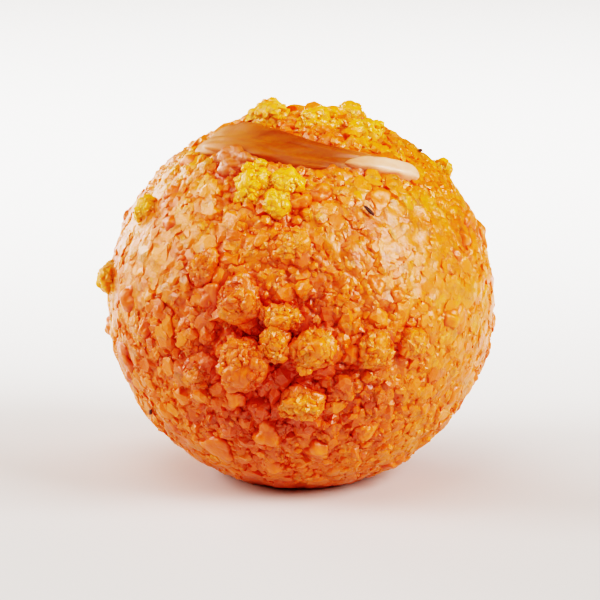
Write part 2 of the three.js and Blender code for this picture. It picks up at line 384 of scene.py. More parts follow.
def boondi_cells(directions):
    """The pressed boondi under each direction: how deep the groove, how far it has risen, and its tone."""
    count = round(math.pi * BALL_WIDTH * BALL_DEPTH / cell_area(BOONDI_PITCH))
    middles = even_spread(count, BOONDI_WANDER, 0)
    tree = search_tree(middles)
    numbers = np.arange(len(middles))
    rises = RISE_LOOSE * looseness(middles) * (draw(numbers, 6) - 0.3)
    tones = draw(numbers, 7)
    groove, rise, tone = (np.empty(len(directions)) for _ in range(3))
    pitch = BOONDI_PITCH / BALL_RADIUS
    for i, direction in enumerate(directions):
        found = tree.find_n(direction, 4)
        gaps = np.array([gap for _, _, gap in found]) / pitch
        near = [number for _, number, _ in found]
        weights = np.exp(-9 * (gaps - gaps[0]))
        weights /= weights.sum()
        groove[i] = 1 - min(1, (gaps[1] - gaps[0]) / 0.55)
        rise[i] = weights @ rises[near]
        tone[i] = weights @ tones[near]
    return groove, rise, tone


def raisin_half_width(share):
    """Half the raisin's width at a share of its length, at the height of the pressed surface."""
    taper = np.sqrt(1 - (2 * share ** RAISIN_FULLNESS - 1) ** 2)
    return 0.4 * RAISIN_WIDTH * taper * mix(RAISIN_WIDTH_AT_LEFT, RAISIN_WIDTH_AT_RIGHT, share)


def seed_half_width(share):
    return SEED_WIDTH / 2 * np.sqrt(1 - (2 * share - 1) ** 2)


def beyond_edge(directions, places, half_width):
    """How far each direction lies outside a piece along a line of places, in mm, and below 0 inside it."""
    share = np.linspace(0, 1, 120)
    line = unit(bowed_line(places, 0, 120))
    tree = search_tree(line)
    found = [tree.find(direction) for direction in directions]
    away = BALL_RADIUS * np.array([gap for _, _, gap in found])
    return away - half_width(share[[number for _, number, _ in found]])


def beyond_toppings(directions):
    """How far each direction lies outside the raisin and the seed, in mm."""
    return np.minimum(beyond_edge(directions, RAISIN_PLACES, raisin_half_width),
                      beyond_edge(directions, SEED_PLACES, seed_half_width))


def shaded_by_clumps(directions):
    """1 at the feet of the named boondi, apart from the golden crumbs, and 0 away from them."""
    shade = np.zeros(len(directions))
    for longitude, latitude, length, width, *_ in [*FRONT_CLUMPS, SUGARED_BOONDI, *YELLOW_BOONDI]:
        away = BALL_RADIUS * np.linalg.norm(directions - toward(longitude, latitude), axis=1)
        shade = np.maximum(shade, 1 - smooth(1, 1.8, away / (0.25 * (length + width))))
    return shade


# The share of its full depth that a groove has, and how sharply it falls to its bottom.
GROOVE_CUT = 0.8
GROOVE_SHARPNESS = 1.6

# Syrup and crumbs fill what is deep: how far below the pressed surface they start, in mm, and the share of
# the depth beyond that which is left.
FILLED_PRESSED = 0.18
FILLED_LOOSE = 1.3
FILLED_LEFT = 0.25

# How much of the painted shade in the crevices shows, how much painted shade falls at the feet of the named
# boondi and along the toppings, how far painted shade deepens the tone of the loose patches, and how far
# painted light from above raises the tone at the top.
CREVICES_PRESSED = 0.24
CREVICES_LOOSE = 0.85
SHADE_AT_CLUMPS = 0.8
SHADE_AT_TOPPINGS = 0.5
LOW_SHADE_TONE = 1.15
TOP_LIGHT_TONE = 0.3


def surface(directions):
    """The pressed mass under each direction: how far it is from the ball's middle, its painted shade and its
    tone.
    The loose patches, away from the top, are painted deeper in tone as shade, and towards the top the tone is
    painted more golden as light from above."""
    loose = looseness(directions)
    base = directions * pressed_radius(directions)[:, None]
    groove, rise, tone = boondi_cells(unit(wandering(base, 3.5, 0.7)))
    grains, painted_shade, grain_tone = grainy(unit(wandering(base, 1.5, 0.2)), BALL_RADIUS, loose, 50)
    depth = mix(GROOVE_PRESSED, GROOVE_LOOSE, loose)
    radius = pressed_radius(directions) + rise - GROOVE_CUT * depth * groove ** GROOVE_SHARPNESS + grains
    radius -= HOLLOW_DEPTH * patch_share(directions, *HOLLOW)
    filled = pressed_radius(directions) - mix(FILLED_PRESSED, FILLED_LOOSE + HOLLOW_DEPTH, loose)
    radius = np.where(radius < filled, filled + FILLED_LEFT * (radius - filled), radius)
    # Painted shade along the edges of the raisin and the seed.
    laid = 1 - smooth(0, 0.9, beyond_toppings(directions))
    # Painted shade in the crevices and grooves, at the feet of the named boondi and along the toppings.
    painted_shade = (painted_shade + 0.6 * groove) * mix(CREVICES_PRESSED, CREVICES_LOOSE, loose)
    painted_shade = painted_shade + SHADE_AT_CLUMPS * shaded_by_clumps(directions) + SHADE_AT_TOPPINGS * laid
    # Painted shade: the loose patches, away from the top, are deeper in tone.
    soaked = loose * (1 - smooth(0.3, 0.7, directions[:, 2]))
    # Painted light from above: towards the top the tone is more golden.
    dry = smooth(0.3, 0.95, directions[:, 2])
    tone = 0.5 * tone + 0.5 * grain_tone - LOW_SHADE_TONE * soaked + TOP_LIGHT_TONE * dry
    return radius, np.clip(painted_shade, 0, 1), tone


def pressed_boondi():
    directions, faces = round_skin(CORE_ROWS)
    radius, painted_shade, tone = surface(directions)
    points = resting(pressed_flush(directions * radius[:, None]))
    return make_piece("pressed_boondi", points, faces, {"painted_shade": painted_shade, "tone": tone})


# The size of the facets that the hand leaves and of the dimples in them, and how far over the pressed surface
# loose boondi may stand, in mm.
FACET_SIZE = 5
DIMPLE_SIZE = 1.6
LOOSE_LIMIT = 1.6


def pressed_flush(points, left_over=0.15):
    """Points of what stands out, pressed back towards the ball's surface where the hand has pressed it. Of
    what stands out, at most the share left_over is left."""
    radius = np.linalg.norm(points, axis=-1)
    directions = points / radius[..., None]
    flat = directions.reshape(-1, 3)
    firm = np.array([noise.noise(direction) for direction in flat * BALL_RADIUS / FACET_SIZE])
    wavy = np.array([noise.noise(direction) for direction in flat * BALL_RADIUS / DIMPLE_SIZE])
    facet = 0.3 * smooth(0, 0.5, firm) + 0.3 * wavy - 0.15 * rubbed(flat)
    limit = pressed_radius(flat) + mix(facet, LOOSE_LIMIT, looseness(flat))
    limit = limit.reshape(radius.shape)
    left_over = left_over * (1 - 0.6 * rubbed(flat).reshape(radius.shape))
    radius = np.where(radius > limit, limit + left_over * (radius - limit), radius)
    return directions * radius[..., None]


# ------------------------------------------------------------------------------------ boondi that stand out


# The form of a standing boondi: the flat breaks on its sides, its size before they broke off, and its lumps.
BREAKS = 11
BEFORE_BREAKS = 1.12
LUMPINESS = 0.35

# How far its grains stand out, as a share, and how loose they are.
PEBBLE_RELIEF = 0.8
PEBBLE_LOOSENESS = 0.8

# How golden the golden crumbs and the yellow boondi are, on the scale of clump_tone().
GOLDEN = 1.7
UNDYED = 0.95

# How finely each kind is divided, as round_skin() has it.
NAMED_ROWS = 24
SMALL_NAMED_ROWS = 20
SCATTERED_ROWS = 14
BROKEN_ROWS = 10


def clump_tone(longitude, number):
    """How golden a standing boondi is: those at the left of the front are darker in tone."""
    return mix(0.05, 0.6, smooth(-18, 2, longitude)) + mix(-0.1, 0.2, draw(number, 40))


def foot_shade(golden):
    """How much painted shade falls at the foot of a standing boondi, from how golden it is: less on golden
    ones.
    """
    return mix(0.6, 0.2, smooth(0.8, 1.2, golden))


def near_foot(points):
    """1 from 0.3 mm under the pressed surface inwards, falling to 0 at 0.7 mm over it."""
    above = np.linalg.norm(points, axis=1) - pressed_radius(unit(points))
    return 1 - smooth(-0.3, 0.7, above)


def tone_of(golden, own):
    """The tone of a grain on a standing boondi, from how golden that is and a draw of the grain's own."""
    return 0.6 * golden + 0.4 * own


def clump_axes(outward, turn):
    """The length, width and height directions of a piece that lies on the ball, turned from east."""
    east = unit(np.cross([0, 0, 1], outward))
    north = np.cross(outward, east)
    along = east * math.cos(math.radians(turn)) + north * math.sin(math.radians(turn))
    return np.array([along, np.cross(outward, along), outward])


def pebble_body(place, stands_out, number, directions):
    """Where a standing boondi's surface lies in each direction from its middle, and which way it faces there.
    It is a lumpy fried droplet with broken sides, that lies on the ball with its length along its turn."""
    longitude, latitude, length, width, height, turn = place
    outward = toward(longitude, latitude)
    axes = clump_axes(outward, turn)
    half = np.array([length, width, height]) / 2
    lumps = np.array([noise.noise(Vector(d) * 1.3 + Vector((number * 7.3, 0, 0))) for d in directions])
    breaks = even_spread(BREAKS, 0.8, 300 + number)
    depth = mix(0.75, 1.1, draw(np.arange(BREAKS), 310 + number))
    broken = (1 + np.sum((np.maximum(directions @ breaks.T, 0) / depth) ** 10, axis=1)) ** -0.1
    middle = outward * (pressed_radius(outward) + (stands_out - 0.5) * height)
    points = middle + (directions * half * (broken * (BEFORE_BREAKS + LUMPINESS * lumps))[:, None]) @ axes
    return points, unit((directions / half) @ axes)


def pebble(place, stands_out, number, rows, golden=None):
    """One standing boondi with the relief of its grains, as golden as clump_tone() says or as given."""
    longitude, _, length, *_ = place
    directions, faces = round_skin(rows)
    base, normals = pebble_body(place, stands_out, number, directions)
    loose = np.full(len(base), PEBBLE_LOOSENESS)
    grains, painted_shade, tone = grainy(directions, length / 2, loose, 50 + number)
    points = base + normals * (PEBBLE_RELIEF * grains)[:, None]
    golden = clump_tone(longitude, number) if golden is None else golden
    # Painted shade in the gaps between its grains and at its foot.
    layers = {
        "painted_shade": np.clip(0.5 * painted_shade + foot_shade(golden) * near_foot(points), 0, 1),
        "tone": tone_of(golden, tone),
    }
    return resting(points), faces, layers


def clear_places(count, seed, clearance, lowest):
    """Even places on the ball, without those that are too near a named piece or too low."""
    clumps = [*FRONT_CLUMPS, SUGARED_BOONDI, *GOLDEN_CRUMBS, *YELLOW_BOONDI]
    named = [toward(longitude, latitude) for longitude, latitude, *_ in clumps]
    laid = [toward(*place) for place in RAISIN_PLACES + SEED_PLACES]
    nearest = math.cos(clearance / BALL_RADIUS)
    spread = even_spread(count, BOONDI_WANDER, seed)
    clear = [d for d in spread if max(d @ other for other in named + laid) < nearest]
    places = [(math.degrees(math.atan2(d[0], -d[1])), math.degrees(math.asin(d[2]))) for d in clear]
    return [place for place in places if place[1] > lowest]


def off_the_toppings(places, clearance):
    gaps = beyond_toppings(np.array([toward(*place) for place in places]))
    return [place for place, gap in zip(places, gaps) if gap > clearance]


def sized(places, lengths, seed):
    """Uneven sizes and turns for small boondi at places."""
    for i, place in enumerate(places):
        length = mix(*lengths, draw(i, seed))
        width = length * mix(0.7, 0.95, draw(i, seed + 1))
        height = length * mix(0.65, 0.9, draw(i, seed + 2))
        yield (*place, length, width, height, 180 * draw(i, seed + 3))


# The named boondi are numbered in this order: front clumps, the sugared one, golden crumbs, yellow ones.
SUGARED_NUMBER = len(FRONT_CLUMPS)
FIRST_GOLDEN = SUGARED_NUMBER + 1
FIRST_YELLOW = FIRST_GOLDEN + len(GOLDEN_CRUMBS)


def standing_boondi():
    parts = [pebble(clump, CLUMP_STANDS_OUT, i, NAMED_ROWS) for i, clump in enumerate(FRONT_CLUMPS)]
    for i, clump in enumerate(GOLDEN_CRUMBS, FIRST_GOLDEN):
        parts.append(pebble(clump, CLUMP_STANDS_OUT, i, SMALL_NAMED_ROWS, GOLDEN))
    places = clear_places(SCATTERED_COUNT, 20, SCATTERED_CLEARANCE, SCATTERED_LOWEST)
    for i, place in enumerate(sized(places, SCATTERED_LENGTH, 30), 200):
        points, faces, layers = pebble(place, SCATTERED_STANDS_OUT, i, SCATTERED_ROWS)
        parts.append((pressed_flush(points, 0.4), faces, layers))
    return make_piece("standing_boondi", *joined(parts))


def broken_boondi():
    clear = clear_places(BROKEN_COUNT, 80, BROKEN_CLEARANCE, SCATTERED_LOWEST)
    places = sized(off_the_toppings(clear, BROKEN_FROM_TOPPINGS), BROKEN_LENGTH, 90)
    parts = [pebble(place, BROKEN_STANDS_OUT, i, BROKEN_ROWS) for i, place in enumerate(places, 400)]
    return make_piece("broken_boondi", *joined(parts))


def sugared_boondi():
    body = pebble(SUGARED_BOONDI, CLUMP_STANDS_OUT, SUGARED_NUMBER, NAMED_ROWS)
    return make_piece("sugared_boondi", *body)


def yellow_boondi():
    parts = []
    for i, clump in enumerate(YELLOW_BOONDI, FIRST_YELLOW):
        parts.append(pebble(clump, CLUMP_STANDS_OUT, i, SMALL_NAMED_ROWS, UNDYED))
    return make_piece("yellow_boondi", *joined(parts))


# The most that a corner of an angular grain lies in or out, as a share of its distance from the middle.
GRAIN_UNEVENNESS = 0.28


def grain_foot_shade(heights):
    """How much painted shade, in the crevices' colour, a grain has at its corners: from 0 at the top to 0.1
    at the bottom.
    """
    return 0.1 * (1 - smooth(-0.5, 0.6, heights))


def angular_grains(middles, up, lengths, fineness, seed):
    """Points, faces and corner heights of angular grains of broken boondi, each with its height along up."""
    form, faces = pebble_form(fineness)
    number = np.arange(len(middles))
    width = mix(0.6, 1, draw(number, seed + 4))
    height = mix(0.7, 0.95, draw(number, seed + 5))
    half = 0.5 * lengths[:, None] * np.stack([np.ones(len(number)), width, height], axis=1)
    turn = 2 * math.pi * draw(number, seed + 9)
    east = unit(np.cross([0, 0, 1], up))
    north = np.cross(up, east)
    along = east * np.cos(turn)[:, None] + north * np.sin(turn)[:, None]
    axes = np.stack([along, np.cross(up, along), up], axis=1)
    corner = np.arange(len(form))
    uneven = 1 + GRAIN_UNEVENNESS * (2 * draw(number[:, None] * 61 + corner, seed + 10) - 1)
    local = form[None] * uneven[:, :, None] * half[:, None, :]
    points = middles[:, None, :] + np.einsum("nci,nij->ncj", local, axes)
    all_faces = (np.array(faces)[None] + (number * len(form))[:, None, None]).reshape(-1, 3).tolist()
    return points, all_faces, form[:, 2]


def leaning(outward, amount, seed):
    """Directions that lean at random from the way out."""
    number = np.arange(len(outward))
    lean = np.stack([draw(number, seed + part) - 0.5 for part in (6, 7, 8)], axis=1)
    return unit(outward + amount * lean)


GRAINS_LOWEST = -60  # latitude


def scattered_grains(name, count, in_pressed, lengths, fineness, seed):
    """Angular grains of broken boondi all over the ball, sunk to about their middle or deeper. Where the hand
    has pressed, only the share in_pressed is left."""
    outward = even_spread(count, 0.9, seed)
    kept = draw(np.arange(count), seed + 13) < mix(in_pressed, 1, looseness(outward))
    above_foot = outward[:, 2] > math.sin(math.radians(GRAINS_LOWEST))
    outward = outward[kept & above_foot & (beyond_toppings(outward) > 0.3)]
    number = np.arange(len(outward))
    radius, painted_shade, tone = surface(outward)
    loose = looseness(outward)
    length = mix(*lengths, draw(number, seed + 3) ** 1.5)
    up = leaning(outward, mix(0.2, 0.8, loose)[:, None], seed)
    raised = mix(-0.3, mix(-0.04, 0.04, loose), draw(number, seed + 11)) * length
    middle = outward * (radius + raised)[:, None]
    points, faces, heights = angular_grains(middle, up, length, fineness, seed)
    # Painted shade at the grains' feet and from the shade of the mass under them.
    dark = grain_foot_shade(heights) + (mix(0.18, 0.6, loose) * painted_shade)[:, None]
    layers = {
        "painted_shade": np.clip(dark, 0, 1).reshape(-1),
        "tone": np.repeat(0.7 * tone + mix(-0.1, 0.4, draw(number, seed + 12)), len(heights)),
    }
    return make_piece(name, resting(pressed_flush(points).reshape(-1, 3)), faces, layers, angular=True)


def crumbs():
    """The larger grains, of which half are gone where the hand has pressed."""
    return scattered_grains("crumbs", count=3000, in_pressed=0.5, lengths=(1.4, 3.0), fineness=2, seed=60)


def grit():
    """The smaller grains, as many where the hand has pressed as elsewhere."""
    return scattered_grains("grit", count=11000, in_pressed=1, lengths=(0.7, 1.5), fineness=1, seed=120)


CLUMP_GRAINS = 190
CLUMP_GRAIN_LENGTH = (0.7, 1.5)
CLUMP_GRAINS_SUNK = 0.22  # their middles under the boondi's surface


def grains_on(clump, clump_number, golden, seed):
    """Points, faces and layers of the angular grains stuck to one standing boondi, but not to its foot."""
    facing = even_spread(CLUMP_GRAINS, 0.9, seed)
    facing = facing[facing[:, 2] > -0.35]
    number = np.arange(len(facing))
    places, normals = pebble_body(clump, CLUMP_STANDS_OUT, clump_number, facing)
    places -= CLUMP_GRAINS_SUNK * normals
    up = leaning(normals, 0.5, seed)
    lengths = mix(*CLUMP_GRAIN_LENGTH, draw(number, seed + 3) ** 1.5)
    points, faces, heights = angular_grains(places, up, lengths, 1, seed)
    # Painted shade at the grains' feet and at the foot of the standing boondi.
    dark = grain_foot_shade(heights) + foot_shade(golden) * near_foot(places)[:, None]
    layers = {
        "painted_shade": np.clip(dark, 0, 1).reshape(-1),
        "tone": np.repeat(tone_of(golden, draw(number, seed + 12)), len(heights)),
    }
    return resting(points.reshape(-1, 3)), faces, layers


def clump_grains():
    """Grains stuck to the front's clumps and the golden crumbs, so that these are lumpy too."""
    toned = [(clump, i, clump_tone(clump[0], i)) for i, clump in enumerate(FRONT_CLUMPS)]
    toned += [(clump, i, GOLDEN) for i, clump in enumerate(GOLDEN_CRUMBS, FIRST_GOLDEN)]
    parts = [grains_on(*clump, 500 + 20 * i) for i, clump in enumerate(toned)]
    return make_piece("clump_grains", *joined(parts), angular=True)


def yellow_grains():
    """Grains of undyed batter, stuck to the yellow boondi."""
    parts = [
        grains_on(clump, FIRST_YELLOW + i, UNDYED, 900 + 20 * i)
        for i, clump in enumerate(YELLOW_BOONDI)
    ]
    return make_piece("yellow_grains", *joined(parts), angular=True)


# ----------------------------------------------------------------------------------------- what lies on top


def bowed_line(places, height, count):
    """Points along a smooth line through places on the ball, at a height over its pressed surface."""
    ends = [toward(*place) for place in places]
    share = np.linspace(0, 1, count)[:, None]
    if len(ends) == 2:
        course = ends[0] * (1 - share) + ends[1] * share
    else:
        course = (
            2 * (share - 0.5) * (share - 1) * ends[0]
            - 4 * share * (share - 1) * ends[1]
            + 2 * share * (share - 0.5) * ends[2]
        )
    directions = unit(course)
    return directions * (pressed_radius(directions) + height)[:, None]


def lying_piece(places, height, stations, around, half_sizes):
    """Points and faces of a closed piece along a bowed line. Its section is an oval, given by two half sizes
    for a share of its length and an angle: along the ball's surface and out of it."""
    line = bowed_line(places, height, 400)
    steps = np.linalg.norm(np.diff(line, axis=0), axis=1)
    gone = np.concatenate([[0], np.cumsum(steps)])

    def at(distance):
        return np.array([np.interp(distance, gone, line[:, axis]) for axis in range(3)])

    shares = (1 - np.cos(math.pi * np.arange(1, stations + 1) / (stations + 1))) / 2
    points = [line[0]]
    for share in shares:
        here = at(share * gone[-1])
        along = unit(at(share * gone[-1] + 0.05) - at(share * gone[-1] - 0.05))
        side = unit(np.cross(unit(here), along))
        up = np.cross(along, side)
        for angle in 2 * math.pi * np.arange(around) / around:
            half, half_up = half_sizes(share, angle)
            points.append(here + side * half * math.cos(angle) + up * half_up * math.sin(angle))
    points.append(line[-1])
    faces = []
    last = len(points) - 1
    for i in range(around):
        j = (i + 1) % around
        faces.append([0, 1 + j, 1 + i])
        for k in range(stations - 1):
            row, following = 1 + k * around, 1 + (k + 1) * around
            faces.append([row + i, row + j, following + j, following + i])
        row = 1 + (stations - 1) * around
        faces.append([last, row + i, row + j])
    return np.array(points), faces


def raisin():
    def half_sizes(share, angle):
        taper = math.sqrt(1 - (2 * share ** RAISIN_FULLNESS - 1) ** 2)
        across = taper * mix(RAISIN_WIDTH_AT_LEFT, RAISIN_WIDTH_AT_RIGHT, share)
        twist = RAISIN_FOLD_TWIST * math.sin(5 * share)
        fold = 1 + RAISIN_FOLD_DEPTH * taper * math.cos(RAISIN_FOLDS * angle + twist)
        crease = noise.noise(Vector((2 * math.cos(angle), 2 * math.sin(angle), 5 * share)))
        fold -= RAISIN_CREASE_DEPTH * taper * (1 - smooth(0, 0.35, abs(crease)))
        return RAISIN_WIDTH / 2 * across * fold, RAISIN_THICKNESS / 2 * taper * fold

    middle = RAISIN_STANDS_OUT - RAISIN_THICKNESS / 2
    points, faces = lying_piece(RAISIN_PLACES, middle, 110, 96, half_sizes)
    return make_piece("raisin_skin", points, faces)


SEED_SQUARENESS = 4


def melon_seed():
    def half_sizes(share, angle):
        taper = (1 - (1 - share) ** 4) ** 0.7 * (1 - share ** 14) ** 0.5  # blunter at its right end
        corner = abs(math.cos(angle)) ** SEED_SQUARENESS + abs(math.sin(angle)) ** SEED_SQUARENESS
        ragged = 1 + 0.1 * noise.noise(Vector((7 * share, math.cos(angle), math.sin(angle))))
        out = taper * ragged * corner ** (-1 / SEED_SQUARENESS)
        return SEED_WIDTH / 2 * out, SEED_THICKNESS / 2 * out

    middle = SEED_STANDS_OUT - SEED_THICKNESS / 2
    points, faces = lying_piece(SEED_PLACES, middle, 90, 48, half_sizes)
    return make_piece("melon_seed", points, faces)


def cardamom_slivers():
    directions, faces = round_skin(8)
    parts = []
    for number, (longitude, latitude, turn) in enumerate(CARDAMOM_SLIVERS):
        outward = toward(longitude, latitude)
        axes = clump_axes(outward, turn)
        wobble = np.array([noise.noise(Vector(d) * 1.5 + Vector((number * 5.1, 0, 0))) for d in directions])
        points = (directions * (1 + 0.3 * wobble[:, None]) * np.array(SLIVER_SIZE) / 2) @ axes
        parts.append((points + outward * (pressed_radius(outward) + SLIVER_MIDDLE), faces, {}))
    return make_piece("cardamom_slivers", *joined(parts))


# ------------------------------------------------------------------------------------------------ materials


def linear(colour):
    """Linear red, green, blue and alpha from an sRGB hex colour."""
    shares = [int(colour[i:i + 2], 16) / 255 for i in (1, 3, 5)]
    return [s / 12.92 if s <= 0.04045 else ((s + 0.055) / 1.055) ** 2.4 for s in shares] + [1]


def add_node(material, kind, settings=None, inputs=None):
    """Adds a node with its settings. An input is a value or another node's output."""
    node = material.node_tree.nodes.new(kind)
    for name, value in (settings or {}).items():
        setattr(node, name, value)
    for name, value in (inputs or {}).items():
        if isinstance(value, bpy.types.NodeSocket):
            material.node_tree.links.new(value, node.inputs[name])
        else:
            node.inputs[name].default_value = value
    return node


def new_material(name):
    """An empty material and its output node."""
    material = bpy.data.materials.new(name)
    material.use_nodes = True
    material.node_tree.nodes.clear()
    return material, add_node(material, "ShaderNodeOutputMaterial")


# A colour Mix node's sockets: its share and two colours, and its result.
SHARE, FROM, TO, MIXED = 0, 6, 7, 2


def boondi_batter(name, deep, plain, golden, painted_shade_colour, glow):
    """Fried gram-flour batter soaked in sugar syrup and ghee, with a crust of 0.5 mm grit under a thin wet
    film. Light goes some way into it, so that it glows. Painted shade turns its crevices, gaps and feet a
    deeper red. Its colours go from deep to golden by tone, and the deep end also carries painted shade.
    Light goes as far as glow, in mm."""
    material, output = new_material(name)
    place = add_node(material, "ShaderNodeTexCoord").outputs["Object"]
    tone = add_node(material, "ShaderNodeAttribute", {"attribute_name": "tone"}).outputs["Fac"]
    painted_shade = add_node(material, "ShaderNodeAttribute", {"attribute_name": "painted_shade"}).outputs["Fac"]
    cloud = add_node(material, "ShaderNodeTexNoise", {},
                     {"Vector": place, "Scale": 1 / (7 * MM), "Detail": 2})
    share = add_node(material, "ShaderNodeMath", {"operation": "MULTIPLY_ADD"},
                     {0: cloud.outputs["Fac"], 1: 0.9, 2: tone})
    low = add_node(material, "ShaderNodeMapRange", {"clamp": True},
                   {"Value": share.outputs[0], "From Min": 0.3, "From Max": 0.9})
    high = add_node(material, "ShaderNodeMapRange", {"clamp": True},
                    {"Value": share.outputs[0], "From Min": 1.1, "From Max": 1.9})
    colour = {"data_type": "RGBA"}
    first = add_node(material, "ShaderNodeMix", colour,
                     {SHARE: low.outputs["Result"], FROM: linear(deep), TO: linear(plain)})
    second = add_node(material, "ShaderNodeMix", colour,
                      {SHARE: high.outputs["Result"], FROM: first.outputs[MIXED], TO: linear(golden)})
    # Painted shade: where the pieces carry shade, the colour turns towards the crevices' shade colour.
    third = add_node(material, "ShaderNodeMix", colour,
                     {SHARE: painted_shade, FROM: second.outputs[MIXED], TO: linear(painted_shade_colour)})
    crust = add_node(material, "ShaderNodeTexNoise", {},
                     {"Vector": place, "Scale": 1 / (0.5 * MM), "Detail": 4, "Roughness": 0.65})
    bumps = add_node(material, "ShaderNodeBump", {},
                     {"Height": crust.outputs["Fac"], "Strength": 0.7, "Distance": 0.14 * MM})
    wet = add_node(material, "ShaderNodeMapRange", {"clamp": True}, {
        "Value": crust.outputs["Fac"], "From Min": 0.3, "From Max": 0.7, "To Min": 0.34, "To Max": 0.48})
    shader = add_node(material, "ShaderNodeBsdfPrincipled", {}, {
        "Base Color": third.outputs[MIXED],
        "Roughness": wet.outputs["Result"],
        "IOR": 1.49,
        "Subsurface Weight": 0.6,
        "Subsurface Radius": glow,
        "Subsurface Scale": MM,
        "Coat Weight": 0.5,
        "Coat Roughness": 0.18,
        "Coat IOR": 1.47,
        "Normal": bumps.outputs["Normal"],
        "Coat Normal": bumps.outputs["Normal"],
    })
    material.node_tree.links.new(shader.outputs[0], output.inputs[0])
    return material


def raisin_flesh():
    """A fried raisin, pressed flat: brown half-clear flesh under a sticky skin with a soft sheen and crinkles
    of 0.9 mm. Streaks 1.6 mm wide run along it, and its thin ends are paler: partly their own thinner flesh
    and partly a painted sheen."""
    material, output = new_material("raisin_flesh")
    place = add_node(material, "ShaderNodeTexCoord").outputs["Object"]
    drawn_out = add_node(material, "ShaderNodeVectorMath", {"operation": "MULTIPLY"},
                         {0: place, 1: (0.25, 1, 1)})
    streaks = add_node(material, "ShaderNodeTexNoise", {},
                       {"Vector": drawn_out.outputs["Vector"], "Scale": 1 / (1.6 * MM), "Detail": 2})
    clear = add_node(material, "ShaderNodeMapRange", {"clamp": True},
                     {"Value": streaks.outputs["Fac"], "From Min": 0.25, "From Max": 0.75})
    colour = add_node(material, "ShaderNodeMix", {"data_type": "RGBA"},
                      {SHARE: clear.outputs["Result"], FROM: linear("#8e3c02"), TO: linear("#b45e08")})
    across = add_node(material, "ShaderNodeSeparateXYZ", {}, {"Vector": place}).outputs["X"]
    from_middle = add_node(material, "ShaderNodeMath", {"operation": "ABSOLUTE"}, {0: across}).outputs[0]
    # Painted sheen, with the ends' own thinner flesh: the ends of the raisin turn paler.
    thin = add_node(material, "ShaderNodeMapRange", {"clamp": True},
                    {"Value": from_middle, "From Min": 4 * MM, "From Max": 11 * MM})
    skin = add_node(material, "ShaderNodeMix", {"data_type": "RGBA"},
                    {SHARE: thin.outputs["Result"], FROM: colour.outputs[MIXED], TO: linear("#c47a4c")})
    crinkle = add_node(material, "ShaderNodeTexNoise", {},
                       {"Vector": place, "Scale": 1 / (0.9 * MM), "Detail": 2})
    bumps = add_node(material, "ShaderNodeBump", {},
                     {"Height": crinkle.outputs["Fac"], "Strength": 0.3, "Distance": 0.15 * MM})
    shader = add_node(material, "ShaderNodeBsdfPrincipled", {}, {
        "Base Color": skin.outputs[MIXED],
        "Roughness": 0.45,
        "IOR": 1.38,
        "Subsurface Weight": 0.8,
        "Subsurface Radius": (1.0, 0.5, 0.2),
        "Subsurface Scale": 1.2 * MM,
        "Normal": bumps.outputs["Normal"],
    })
    material.node_tree.links.new(shader.outputs[0], output.inputs[0])
    return material


def peeled_seed():
    """A peeled melon seed: cream and waxy, with streaks 1 mm wide. Syrup has stained its left end most."""
    material, output = new_material("peeled_seed")
    place = add_node(material, "ShaderNodeTexCoord").outputs["Object"]
    drawn_out = add_node(material, "ShaderNodeVectorMath", {"operation": "MULTIPLY"},
                         {0: place, 1: (0.4, 1, 1)})
    cloud = add_node(material, "ShaderNodeTexNoise", {},
                     {"Vector": drawn_out.outputs["Vector"], "Scale": 1 / MM, "Detail": 3})
    across = add_node(material, "ShaderNodeSeparateXYZ", {}, {"Vector": place})
    clean = add_node(material, "ShaderNodeMapRange", {"clamp": True}, {
        "Value": across.outputs["X"], "From Min": 5 * MM, "From Max": 10 * MM, "To Min": -0.4, "To Max": 0.4})
    share = add_node(material, "ShaderNodeMath", {"operation": "ADD", "use_clamp": True},
                     {0: cloud.outputs["Fac"], 1: clean.outputs["Result"]})
    colour = add_node(material, "ShaderNodeMix", {"data_type": "RGBA"},
                      {SHARE: share.outputs[0], FROM: linear("#bc6a3c"), TO: linear("#eeb696")})
    bumps = add_node(material, "ShaderNodeBump", {},
                     {"Height": cloud.outputs["Fac"], "Strength": 0.3, "Distance": 0.2 * MM})
    shader = add_node(material, "ShaderNodeBsdfPrincipled", {}, {
        "Base Color": colour.outputs[MIXED],
        "Roughness": 0.35,
        "IOR": 1.46,
        "Subsurface Weight": 0.4,
        "Subsurface Radius": (1.0, 0.6, 0.4),
        "Subsurface Scale": 0.6 * MM,
        "Normal": bumps.outputs["Normal"],
    })
    material.node_tree.links.new(shader.outputs[0], output.inputs[0])
    return material


def crushed_cardamom():
    """Crushed cardamom seed: nearly black, dry and rough, with dark brown flecks of 0.4 mm."""
    material, output = new_material("crushed_cardamom")
    place = add_node(material, "ShaderNodeTexCoord").outputs["Object"]
    flecks = add_node(material, "ShaderNodeTexNoise", {},
                      {"Vector": place, "Scale": 1 / (0.4 * MM), "Detail": 2})
    colour = add_node(material, "ShaderNodeMix", {"data_type": "RGBA"},
                      {SHARE: flecks.outputs["Fac"], FROM: linear("#1c0e08"), TO: linear("#5a2c14")})
    bumps = add_node(material, "ShaderNodeBump", {},
                     {"Height": flecks.outputs["Fac"], "Strength": 0.5, "Distance": 0.1 * MM})
    shader = add_node(material, "ShaderNodeBsdfPrincipled", {}, {
        "Base Color": colour.outputs[MIXED],
        "Roughness": 0.6,
        "Normal": bumps.outputs["Normal"],
    })
    material.node_tree.links.new(shader.outputs[0], output.inputs[0])
    return material


